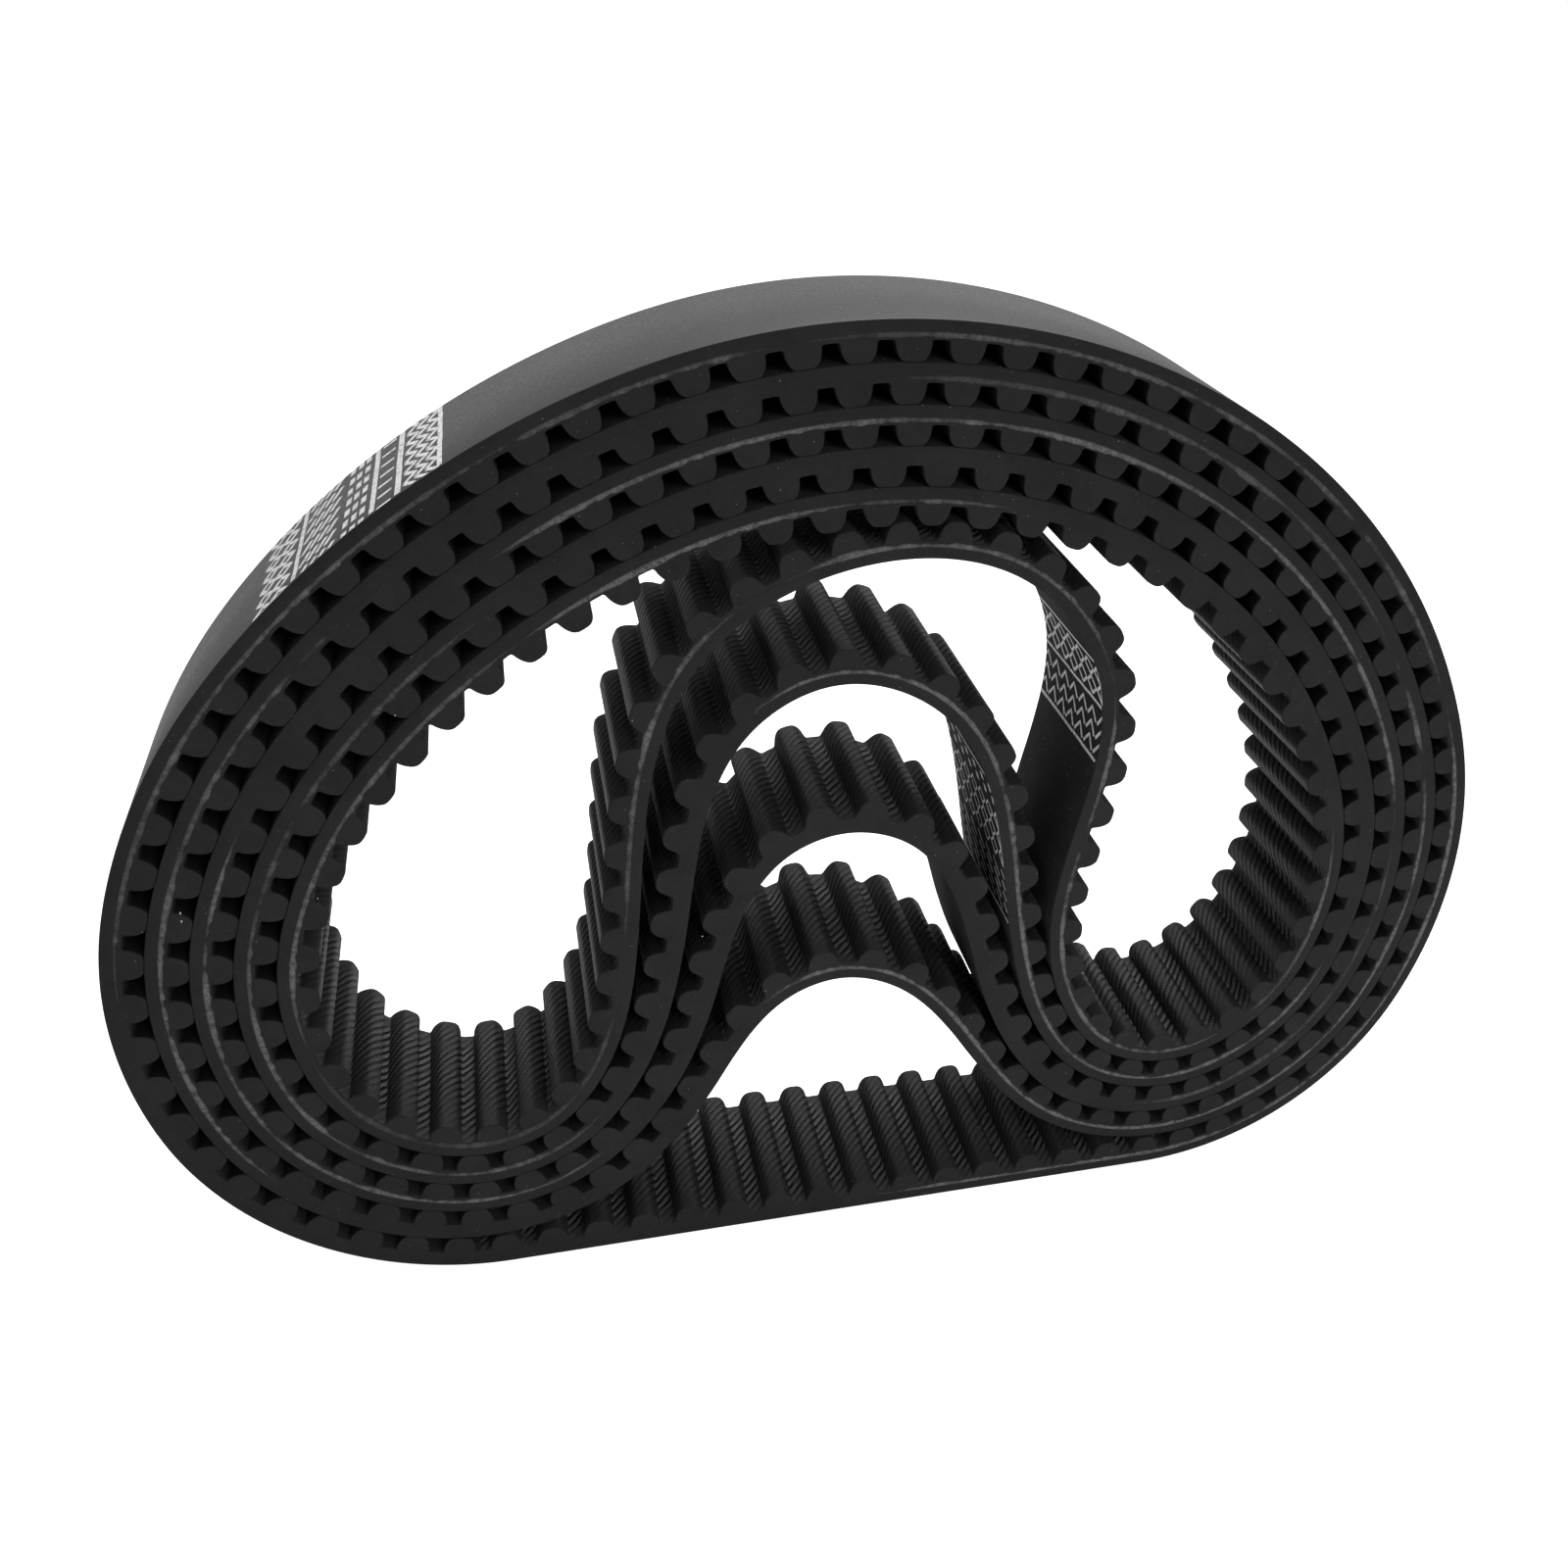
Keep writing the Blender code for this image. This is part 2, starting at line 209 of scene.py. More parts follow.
class BackLine:
    """The smooth closed line of a belt's back, in cubic stretches between the corners of its
    CAD cover. Places on it are in mm along the pitch line, clockwise from the left foot."""

    def __init__(self, belt):
        corners = cut_outlines(f"belt_{belt}_cover")[0]
        low = corners[corners[:, 0] < 0, 1].min() + LEVEL
        foot = min(np.flatnonzero((corners[:, 1] <= low) & (corners[:, 0] < 0)),
                   key=lambda i: corners[i, 0])
        corners = np.roll(corners, -foot, 0)
        count = len(corners)
        chord = np.roll(corners, -1, 0) - corners
        span = np.hypot(*chord.T)
        chord /= span[:, None]
        before = np.roll(span, 1)[:, None]
        way = np.roll(chord, 1, 0) * span[:, None] + chord * before
        way /= np.hypot(*way.T)[:, None]
        for i in np.flatnonzero(span > STRAIGHT):
            way[i] = way[(i + 1) % count] = chord[i]
        points, ways = [], []
        for i in range(count):
            a, b = corners[i], corners[(i + 1) % count]
            da, db = way[i] * span[i], way[(i + 1) % count] * span[i]
            u = np.linspace(0, 1, max(4, int(span[i] / FINE_STEP)), endpoint=False)[:, None]
            points.append((2 * u**3 - 3 * u**2 + 1) * a + (u**3 - 2 * u**2 + u) * da
                          + (3 * u**2 - 2 * u**3) * b + (u**3 - u**2) * db)
            ways.append((6 * u**2 - 6 * u) * (a - b) + (3 * u**2 - 4 * u + 1) * da
                        + (3 * u**2 - 2 * u) * db)
        self.points = np.vstack(points)
        ways = np.vstack(ways)
        ways /= np.hypot(ways[:, 0], ways[:, 1])[:, None]
        self.inward = np.c_[ways[:, 1], -ways[:, 0]]
        pitch_line = self.points + CORD_MIDDLE * self.inward
        along = np.r_[0, np.cumsum(np.hypot(*(np.roll(pitch_line, -1, 0) - pitch_line).T))]
        self.places = along * LOOP / along[-1]
        self.first_tooth = self.tooth_phase(belt)

    def at(self, places, depth=0.0):
        """Points and inward normals at places along the pitch line, depth below the back."""
        rows = np.c_[self.points, self.inward]
        rows = np.vstack([rows, rows[:1]])
        places = np.asarray(places) % LOOP
        rows = np.array([np.interp(places, self.places, row) for row in rows.T]).T
        normals = rows[:, 2:] / np.hypot(rows[:, 2], rows[:, 3])[:, None]
        return rows[:, :2] + np.asarray(depth).reshape(-1, 1) * normals, normals

    def tooth_phase(self, belt):
        """The place of a tooth's middle, from the crests of the CAD teeth."""
        corners = cut_outlines(f"belt_{belt}_teeth")[-1]
        apart = np.hypot(*(corners[:, None] - self.points[None, ::SPARSE]).transpose(2, 0, 1))
        depth = apart.min(1)
        places = self.places[:-1][::SPARSE][apart.argmin(1)]
        turns = places[np.abs(depth - CREST) < NEAR_CREST] * 2 * math.pi / PITCH
        return math.atan2(np.sin(turns).mean(), np.cos(turns).mean()) * PITCH / (2 * math.pi) % PITCH


BACKS = {belt: BackLine(belt) for belt in BELTS}


# ---- sizes and colours -----------------------------------------------------------------
def length(label, description, millimetres):
    return FloatProperty(name=label, description=description, default=millimetres * MM, min=0.0,
                         precision=5, unit="LENGTH", subtype="DISTANCE")


def colour(label, description, *value):
    return FloatVectorProperty(name=label, description=description, default=value, size=3,
                               min=0.0, max=1.0, subtype="COLOR")


class BeltSizes(PropertyGroup):
    cord_width: length("Cord layer", "Thickness of the layer that holds the tensile cord", 0.60)
    facing: length("Facing", "Thickness of the woven facing over the teeth", 0.22)
    tooth_half: length("Tooth half width", "Half the width of a tooth above its root", 2.72)
    tooth_root: length("Root radius", "Radius of the fillet between a tooth and the land", 0.36)
    pressing: FloatProperty(name="Pressing", description="How much flatter a tooth's crest lies "
                            "where it bears on the next belt", default=1.06, min=1.0, max=1.2)
    narrowing: FloatProperty(name="Narrowing", description="How much narrower than the profile "
                             "a free tooth's crest is", default=0.1, min=0.0, max=0.5)
    back_edge: length("Back edge", "Rounding along the two edges of the back", 0.16)
    cut_edge: length("Facing edge", "Rounding along the cut edges of the facing", 0.10)
    recess: length("Recess", "How far the cut rubber lies inside the belt's width", 0.05)
    yarn: length("Yarn width", "Width of the cord line where it shows in the cut", 0.74)
    ink: length("Ink", "Thickness of the printing ink", 0.02)
    tooth_points: IntProperty(name="Tooth points", description="Points on half a tooth's curve",
                              default=8, min=4, max=16)


class BeltColours(PropertyGroup):
    back: colour("Back", "Smooth back rubber", 0.024, 0.0238, 0.0231)
    cut: colour("Cut edge", "Sawn rubber at the belt's two edges", 0.0094, 0.0095, 0.0098)
    facing: colour("Facing yarn", "Raised ribs of the woven facing", 0.185, 0.185, 0.186)
    # the near-black ground between the ribs is partly the weave's own colour and partly painted shade
    # in the grooves
    facing_ground_and_groove_shade: colour("Facing ground", "The facing between its ribs", 0.002, 0.002, 0.0022)
    yarn: colour("Cord yarn", "Cut tensile cord where it shows", 0.137, 0.135, 0.13)
    ink: colour("Ink", "Printed marks on the backs", 0.95, 0.95, 0.94)
    dust: colour("Dust", "Fine dust and lint on the rubber", 0.48, 0.47, 0.45)


class StudioLook(PropertyGroup):
    floor: colour("Floor", "Floor paint", 0.82, 0.82, 0.82)
    glow: FloatProperty(name="Floor glow", description="Light of the floor's own that only the "
                        "camera sees", default=0.88, min=0.0)
    room: FloatProperty(name="Room light", description="Strength of the even light all round",
                        default=0.25, min=0.0)
    backdrop: FloatProperty(name="Backdrop", description="Brightness of the backdrop in gloss",
                            default=0.7, min=0.0)
    overhead: FloatProperty(name="Overhead lamp", description="Power of the soft box overhead",
                            default=6.3, min=0.0, unit="POWER")
    front: FloatProperty(name="Front lamp", description="Power of the soft box high in front",
                         default=2.1, min=0.0, unit="POWER")
    low: FloatProperty(name="Low lamp", description="Power of the strip box low in front",
                       default=0.27, min=0.0, unit="POWER")
    lens: FloatProperty(name="Lens", description="Focal length of the camera, in mm",
                        default=36.9, min=10.0)


# ---- node materials --------------------------------------------------------------------
def feed(tree, socket, value):
    """Links a node's output to a socket, or sets the socket to a plain value."""
    if isinstance(value, bpy.types.NodeSocket):
        tree.links.new(value, socket)
    else:
        socket.default_value = value


class Look:
    """A node material under construction: short calls that add nodes and join them."""

    def __init__(self, name):
        self.material = bpy.data.materials.new(name)
        self.material.use_nodes = True
        self.tree = self.material.node_tree
        self.shader = self.tree.nodes["Principled BSDF"]
        self.coordinates = self.add("ShaderNodeTexCoord")

    def add(self, kind, inputs=None, **settings):
        node = self.tree.nodes.new(kind)
        for key, value in settings.items():
            setattr(node, key, value)
        for key, value in (inputs or {}).items():
            self.feed(node.inputs[key], value)
        return node

    def feed(self, socket, value):
        feed(self.tree, socket, value)

    def set(self, **inputs):
        for key, value in inputs.items():
            self.feed(self.shader.inputs[key.replace("_", " ")], value)

    def math(self, operation, a, b=0.0, c=0.0):
        return self.add("ShaderNodeMath", {0: a, 1: b, 2: c}, operation=operation).outputs[0]

    def flat(self):
        """The piece's own UV map, in mm along and across the belt."""
        return self.coordinates.outputs["UV"]

    def solid(self):
        """Object coordinates in mm."""
        return self.add("ShaderNodeMapping", {"Vector": self.coordinates.outputs["Object"],
                                              "Scale": (1000, 1000, 1000)}).outputs[0]

    def stretched(self, vector, x=1.0, y=1.0, z=1.0, turn=0.0):
        return self.add("ShaderNodeMapping", {"Vector": vector, "Scale": (x, y, z),
                                              "Rotation": (0, 0, turn)}).outputs[0]

    def grain(self, vector, size, detail=2.0, roughness=0.5):
        """Cloudy noise whose lumps are about this many mm across."""
        return self.add("ShaderNodeTexNoise", {"Vector": vector, "Scale": 1.0 / size,
                                               "Detail": detail, "Roughness": roughness}).outputs[0]

    def between(self, value, low, high, to_low=0.0, to_high=1.0):
        return self.add("ShaderNodeMapRange", {0: value, 1: low, 2: high, 3: to_low, 4: to_high},
                        interpolation_type="SMOOTHSTEP").outputs[0]

    def mixed(self, factor, a, b):
        mix = self.add("ShaderNodeMix", data_type="RGBA")
        for socket, value in ((mix.inputs[0], factor), (mix.inputs[6], a), (mix.inputs[7], b)):
            plain = isinstance(value, tuple) and len(value) == 3
            self.feed(socket, (*value, 1.0) if plain else value)
        return mix.outputs[2]

    def bump(self, height, depth):
        """Relief of this depth in mm."""
        return self.add("ShaderNodeBump", {"Height": height, "Distance": depth * MM,
                                           "Strength": 1.0}).outputs[0]


def back_look(colours, dull=False):
    """Moulded back rubber, a little cloudy, with the finest dust on it: satin from handling
    on the outermost belt and dull on those inside it."""
    look = Look("dull_back_rubber" if dull else "back_rubber")
    solid = look.solid()
    cloud = look.grain(solid, 14.0, 3.0)
    fine = look.grain(solid, 0.55, 3.0, 0.6)
    rubber = look.mixed(look.between(cloud, 0.3, 0.7), tuple(c * 0.85 for c in colours.back),
                        tuple(c * 1.2 for c in colours.back))
    specks = look.between(look.grain(solid, 0.32, 1.0), 0.74, 0.8)
    look.set(Base_Color=look.mixed(specks, rubber, tuple(colours.dust)),
             Roughness=look.between(fine, 0.3, 0.7, *((0.7, 0.85) if dull else (0.36, 0.5))),
             Specular_IOR_Level=0.09 if dull else 0.45,
             Normal=look.bump(fine, 0.012))
    return look.material


def cut_look(colours):
    """Sawn rubber: matt, with fine saw marks and crumbs."""
    look = Look("cut_rubber")
    solid = look.solid()
    cloud = look.grain(solid, 9.0, 3.0)
    crumbs = look.grain(solid, 0.35, 3.0, 0.65)
    marks = look.grain(look.stretched(solid, z=6.0), 1.6, 2.0)
    rubber = look.mixed(look.between(cloud, 0.3, 0.7), tuple(c * 0.85 for c in colours.cut),
                        tuple(c * 1.2 for c in colours.cut))
    rubber = look.mixed(look.between(crumbs, 0.45, 0.75, 0.0, 0.5), rubber,
                        tuple(c * 1.9 for c in colours.cut))
    rubber = look.mixed(look.between(look.grain(solid, 1.8, 3.0, 0.6), 0.5, 0.75, 0.0, 0.4), rubber,
                        tuple(c * 0.45 for c in colours.cut))
    specks = look.between(look.grain(solid, 0.3, 1.0), 0.77, 0.83, 0.0, 0.7)
    height = look.math("ADD", crumbs, look.math("MULTIPLY", marks, 0.5))
    look.set(Base_Color=look.mixed(specks, rubber, tuple(colours.dust)),
             Roughness=0.8, Specular_IOR_Level=0.2, Normal=look.bump(height, 0.03))
    return look.material


def facing_look(colours):
    """Woven nylon facing: slanted ribs of yarn, boldest on the lands, with painted shade that leaves
    the flanks of the teeth dark and smooth, the crests lighter and the lands lightest, and crests
    rubbed shiny. The ribs fade by the cut edges. rise is the share of a tooth's height, and shut_in is
    1 in a shut gap, where painted shade darkens the facing and flattens its ribs."""
    rib_pitch, rib_slant, twist_pitch = 1.95, 1.2, 0.8
    look = Look("faced_rubber")
    flat = look.flat()
    rise = look.add("ShaderNodeAttribute", attribute_name="rise").outputs["Fac"]
    shut_in = look.add("ShaderNodeAttribute", attribute_name="shut_in").outputs["Fac"]
    split = look.add("ShaderNodeSeparateXYZ", {0: flat})
    along, across = split.outputs[0], split.outputs[1]
    wobble = look.math("MULTIPLY", look.math("SUBTRACT", look.grain(flat, 2.8, 2.0), 0.5), 0.9)
    slanted = look.math("ADD", look.math("MULTIPLY_ADD", along, rib_slant, across), wobble)
    turns = look.math("MULTIPLY", slanted, 2 * math.pi / rib_pitch)
    rib = look.math("MULTIPLY_ADD", look.math("SINE", turns), 0.5, 0.5)
    strand_turns = look.math("MULTIPLY_ADD", turns, 2.0, 0.9)
    strands = look.math("MULTIPLY_ADD", look.math("SINE", strand_turns), 0.5, 0.5)
    crosswise = look.math("MULTIPLY_ADD", across, 0.9, look.math("MULTIPLY", along, -0.75))
    twist = look.math("SINE", look.math("MULTIPLY", crosswise, 2 * math.pi / twist_pitch))
    land = look.between(rise, 0.03, 0.2, 1.0, 0.0)
    crest = look.between(rise, 0.8, 0.98)
    fuzz = look.grain(flat, 0.3, 3.0, 0.65)
    worn = look.between(look.grain(flat, 5.0, 3.0, 0.6), 0.36, 0.56, 0.3, 1.0)
    by_edge = look.between(look.math("ABSOLUTE", across), 9.5, 14.3, 1.0, 0.2)
    by_near = look.math("MAXIMUM", land, look.between(across, -13.0, 0.0, 0.35, 0.85))
    bold = look.math("MULTIPLY", look.math("MULTIPLY", worn, by_edge), by_near)
    # the ribs fade in a shut gap, along with its painted shade
    bold = look.math("MULTIPLY", bold, look.between(shut_in, 0.0, 1.0, 1.0, 0.1))
    wave = look.math("ADD", look.math("MULTIPLY", rib, 0.78), look.math("MULTIPLY", strands, 0.22))
    wave = look.math("MULTIPLY_ADD", twist, 0.1, look.between(wave, 0.18, 0.8))
    # lit mixes the ribs' yarn with the ground, whose near-black is partly painted shade in the grooves
    lit = look.math("MULTIPLY_ADD", look.math("SUBTRACT", wave, 0.42), bold, 0.35)
    lit = look.math("ADD", lit, look.math("MULTIPLY", look.math("SUBTRACT", fuzz, 0.5), 0.35))
    # painted shade by height on a tooth: flanks darkest, crests lighter, lands lightest
    shade = look.math("ADD", look.math("MULTIPLY_ADD", land, 0.52, 0.25),
                      look.math("MULTIPLY", crest, 0.2))
    yarn = look.mixed(lit, tuple(colours.facing_ground_and_groove_shade), tuple(colours.facing))
    # painted shade: a shut gap between two belts darkens the facing
    shade = look.math("MULTIPLY", shade, look.between(shut_in, 0.0, 1.0, 1.0, 0.55))
    yarn = look.mixed(shade, (0.0, 0.0, 0.0), yarn)
    specks = look.between(look.grain(flat, 0.28, 1.0), 0.77, 0.83)
    height = look.math("ADD", look.math("MULTIPLY", wave, bold), look.math("MULTIPLY", fuzz, 0.4))
    look.set(Base_Color=look.mixed(specks, yarn, tuple(colours.dust)),
             Roughness=look.between(rise, 0.88, 1.0, 0.74, 0.43),
             Specular_IOR_Level=0.12, Normal=look.bump(height, 0.24))
    return look.material


def cord_look(colours):
    """The wound cord in its rubber, as the layer that holds it."""
    turn_pitch = 1.1
    look = Look("tensile_cord")
    across = look.add("ShaderNodeSeparateXYZ", {0: look.flat()}).outputs[1]
    strand = look.math("SINE", look.math("MULTIPLY", across, 2 * math.pi / turn_pitch))
    look.set(Base_Color=look.mixed(look.between(strand, -1.0, 1.0), tuple(colours.cut),
                                   tuple(c * 0.5 for c in colours.yarn)),
             Roughness=0.75, Specular_IOR_Level=0.25, Normal=look.bump(strand, 0.1))
    return look.material


def yarn_look(colours):
    """Cut cord yarn: pale twisted fibres, dark where rubber still covers them."""
    look = Look("cut_yarn")
    flat = look.flat()
    shown = look.add("ShaderNodeAttribute", attribute_name="fibre").outputs["Fac"]
    patchy = look.grain(flat, 1.1, 3.0, 0.6)
    hairs = look.grain(look.stretched(flat, y=5.0, turn=0.35), 0.5, 2.0)
    bare = look.math("MULTIPLY", shown, look.between(patchy, 0.22, 0.62, 0.25, 1.0))
    bare = look.math("MULTIPLY", bare, look.between(hairs, 0.3, 0.6, 0.35, 1.0))
    look.set(Base_Color=look.mixed(bare, tuple(colours.cut), tuple(colours.yarn)),
             Roughness=0.8, Specular_IOR_Level=0.2, Normal=look.bump(hairs, 0.06))
    return look.material


def ink_look(colours):
    """Stamped ink, thin and a little broken."""
    look = Look("stamp_ink")
    solid = look.solid()
    thin = look.between(look.grain(solid, 0.7, 2.0), 0.3, 0.5)
    look.set(Base_Color=look.mixed(thin, tuple(c * 0.45 for c in colours.ink), tuple(colours.ink)),
             Roughness=0.45, Specular_IOR_Level=0.5)
    return look.material


def lint_look(colours):
    """Pale fluff."""
    look = Look("lint")
    fluff = look.grain(look.solid(), 0.2, 3.0)
    look.set(Base_Color=look.mixed(fluff, tuple(c * 0.9 for c in colours.dust),
                                   tuple(c * 1.5 for c in colours.dust)),
             Roughness=0.95, Specular_IOR_Level=0.1, Normal=look.bump(fluff, 0.05))
    return look.material


MAKERS = {"back": back_look, "dull_back": lambda colours: back_look(colours, dull=True),
          "cut": cut_look, "facing": facing_look, "cord": cord_look, "yarn": yarn_look,
          "ink": ink_look, "lint": lint_look}
LOOKS = {}


def look_of(name):
    """A finish, made the first time that a piece needs it."""
    if name not in LOOKS:
        LOOKS[name] = MAKERS[name](bpy.context.scene.belt_colours)
    return LOOKS[name]


# ---- shaping ---------------------------------------------------------------------------
def laid_at(line, y):
    """A line in the XZ plane and in mm as points in metres, this far across the belt."""
    return np.c_[line[:, 0], np.broadcast_to(y, len(line)), line[:, 1]] * MM


def skin(rings, along):
    """A closed skin over closed rings of equal count: the first is extruded from one to the
    next, and the last is welded to it. along is the length along the rings in mm."""
    shape = bmesh.new()
    shape.verts.layers.int.new("station")
    shape.verts.layers.int.new("row")
    station, row = (shape.verts.layers.int[name] for name in ("station", "row"))
    verts = [shape.verts.new(point) for point in rings[0]]
    for i, vert in enumerate(verts):
        vert[station] = i
    edges = [shape.edges.new(pair) for pair in zip(verts, verts[1:] + verts[:1])]
    for k, ring in enumerate(rings[1:] + rings[:1], 1):
        made = bmesh.ops.extrude_edge_only(shape, edges=edges)["geom"]
        for vert in made:
            if isinstance(vert, bmesh.types.BMVert):
                vert.co = ring[vert[station]]
                vert[row] = k
        edges = [edge for edge in made if isinstance(edge, bmesh.types.BMEdge)
                 and edge.verts[0][row] == k == edge.verts[1][row]]
    bmesh.ops.remove_doubles(shape, verts=shape.verts, dist=SEAM)
    bmesh.ops.recalc_face_normals(shape, faces=shape.faces)
    uv = shape.loops.layers.uv.new("UVMap")
    station = shape.verts.layers.int["station"]
    last = len(verts) - 1
    for face in shape.faces:
        seam = {0, last} <= {vert[station] for vert in face.verts}
        for loop in face.loops:
            i = loop.vert[station]
            loop[uv].uv = along[-1 if seam and i == 0 else i], loop.vert.co.y / MM
    return shape


def soften(shape):
    """Smooth faces with creases at sharp edges, and the second finish on the cut edges."""
    for face in shape.faces:
        face.smooth = True
        face.material_index = int(abs(face.normal.y) > CUT_SLANT)
    for edge in shape.edges:
        edge.smooth = edge.calc_face_angle(0.0) < CREASE


def finish_piece(shape, name, belt, slot, looks, *replaced):
    """Turns a shape into a piece that rides on its belt."""
    mesh = bpy.data.meshes.new(name)
    shape.to_mesh(mesh)
    shape.free()
    for look in looks:
        mesh.materials.append(look_of(look))
    piece = bpy.data.objects.new(name, mesh)
    bpy.context.scene.collection.objects.link(piece)
    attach(piece, f"belt_{belt}")
    if replaced:
        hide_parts(*replaced)


def run_length(points):
    """Length along a closed line at each point, and back at the first one."""
    return np.r_[0, np.cumsum(np.hypot(*(np.roll(points, -1, 0) - points).T))]


def half_tooth(sizes):
    """Half a tooth from the land to the middle of its crest: (half width, height) in mm, with
    a round root and a round-cornered flank whose two powers set how full it is."""
    crown, flank = 0.6, 1.1
    half, radius = sizes.tooth_half / MM, sizes.tooth_root / MM
    height = CREST - LAND
    points = [(half + radius * (1 - math.sin(a)), radius * (1 - math.cos(a)))
              for a in (0.0, math.pi / 6, math.pi / 3)]
    start = math.asin((radius / height) ** (1 / flank))
    for t in np.linspace(start, math.pi / 2, sizes.tooth_points + 1):
        points.append((half * max(math.cos(t), 0.0) ** crown, height * math.sin(t) ** flank))
    return np.array(points)


def pressed_teeth(belt, middles, height):
    """Which teeth bear on the back of the next belt inside, and so lie flat against it."""
    if belt == BELTS[-1]:
        return np.zeros(len(middles), bool)
    tips = BACKS[belt].at(middles, LAND + height)[0]
    inside = BACKS[belt + 1].points[::SPARSE]
    apart = np.hypot(*(tips[:, None] - inside[None]).transpose(2, 0, 1)).min(1)
    return apart < BEARING


def toothed_line(belt, sizes):
    """The toothed face's line, its outward normals, the places above its points, their height
    above the land and which of them are shut in against the next belt."""
    back, half = BACKS[belt], half_tooth(sizes)
    x = np.r_[-half[:, 0], half[-2::-1, 0], PITCH / 2]
    h = np.r_[half[:, 1], half[-2::-1, 1], 0.0]
    x[len(half) - 1] = 0.0
    middles = back.first_tooth + PITCH * np.arange(TEETH)
    pressed = pressed_teeth(belt, middles, h.max())
    x = x * np.where(pressed[:, None], 1.0, 1.0 - sizes.narrowing * h / h.max())
    places = (middles[:, None] + x).ravel()
    heights = np.where(pressed[:, None], np.minimum(h * sizes.pressing, h.max()), h)
    rise = heights.ravel()
    bent = back.at(places, LAND + rise)[0]
    feet, ways = back.at(middles, LAND)
    straight = (feet[:, None] + x[:, :, None] * np.c_[-ways[:, 1], ways[:, 0]][:, None]
                + heights[:, :, None] * ways[:, None]).reshape(-1, 2)
    share = np.clip(rise / ROOT_HEIGHT, 0, 1)[:, None]
    share = share * share * (3 - 2 * share)
    line = bent * (1 - share) + straight * share
    way = np.roll(line, -1, 0) - np.roll(line, 1, 0)
    way /= np.hypot(*way.T)[:, None]
    return line, np.c_[way[:, 1], -way[:, 0]], places, rise, np.repeat(pressed, len(h))


def edges_of(sizes):
    """The near and the far cut face, just inside the CAD faces so that yarn can stand out."""
    return NEAR + sizes.recess / MM, FAR - sizes.recess / MM


# ---- operators -------------------------------------------------------------------------
class BELTS_OT_back_rubber(Operator):
    """Make each belt's smooth back cover with softly rounded edges"""
    bl_idname = "belts.back_rubber"
    bl_label = "Back rubber"

    def execute(self, context):
        sizes = context.scene.belt_sizes
        near, far = edges_of(sizes)
        edge = sizes.back_edge / MM
        inner = CORD_MIDDLE - sizes.cord_width / MM / 2
        bevel = edge * QUARTER_ROUND
        section = ((edge, near), (bevel, near + bevel), (0.0, near + edge),
                   (0.0, far - edge), (bevel, far - bevel), (edge, far),
                   (inner, far), (inner, near))
        for belt in BELTS:
            back = BACKS[belt]
            rings = [laid_at(back.at(STATIONS, depth)[0], y) for depth, y in section]
            shape = skin(rings, run_length(back.at(STATIONS)[0]))
            soften(shape)
            finish = "back" if belt == BELTS[0] else "dull_back"
            finish_piece(shape, f"belt_{belt}_back", belt, "back_rubber", (finish, "cut"),
                         f"belt_{belt}_cover")
        return {"FINISHED"}


class BELTS_OT_tensile_cord(Operator):
    """Make each belt's cord layer between the back rubber and the teeth"""
    bl_idname = "belts.tensile_cord"
    bl_label = "Tensile cord layer"

    def execute(self, context):
        sizes = context.scene.belt_sizes
        near, far = edges_of(sizes)
        half = sizes.cord_width / MM / 2
        for belt in BELTS:
            back = BACKS[belt]
            rings = [laid_at(back.at(STATIONS, CORD_MIDDLE + side * half)[0], y)
                     for side, y in ((-1, near), (-1, far), (1, far), (1, near))]
            shape = skin(rings, run_length(back.at(STATIONS, CORD_MIDDLE)[0]))
            soften(shape)
            finish_piece(shape, f"belt_{belt}_cord_layer", belt, "tensile_cord", ("cord", "cut"),
                         f"belt_{belt}_cord")
        return {"FINISHED"}


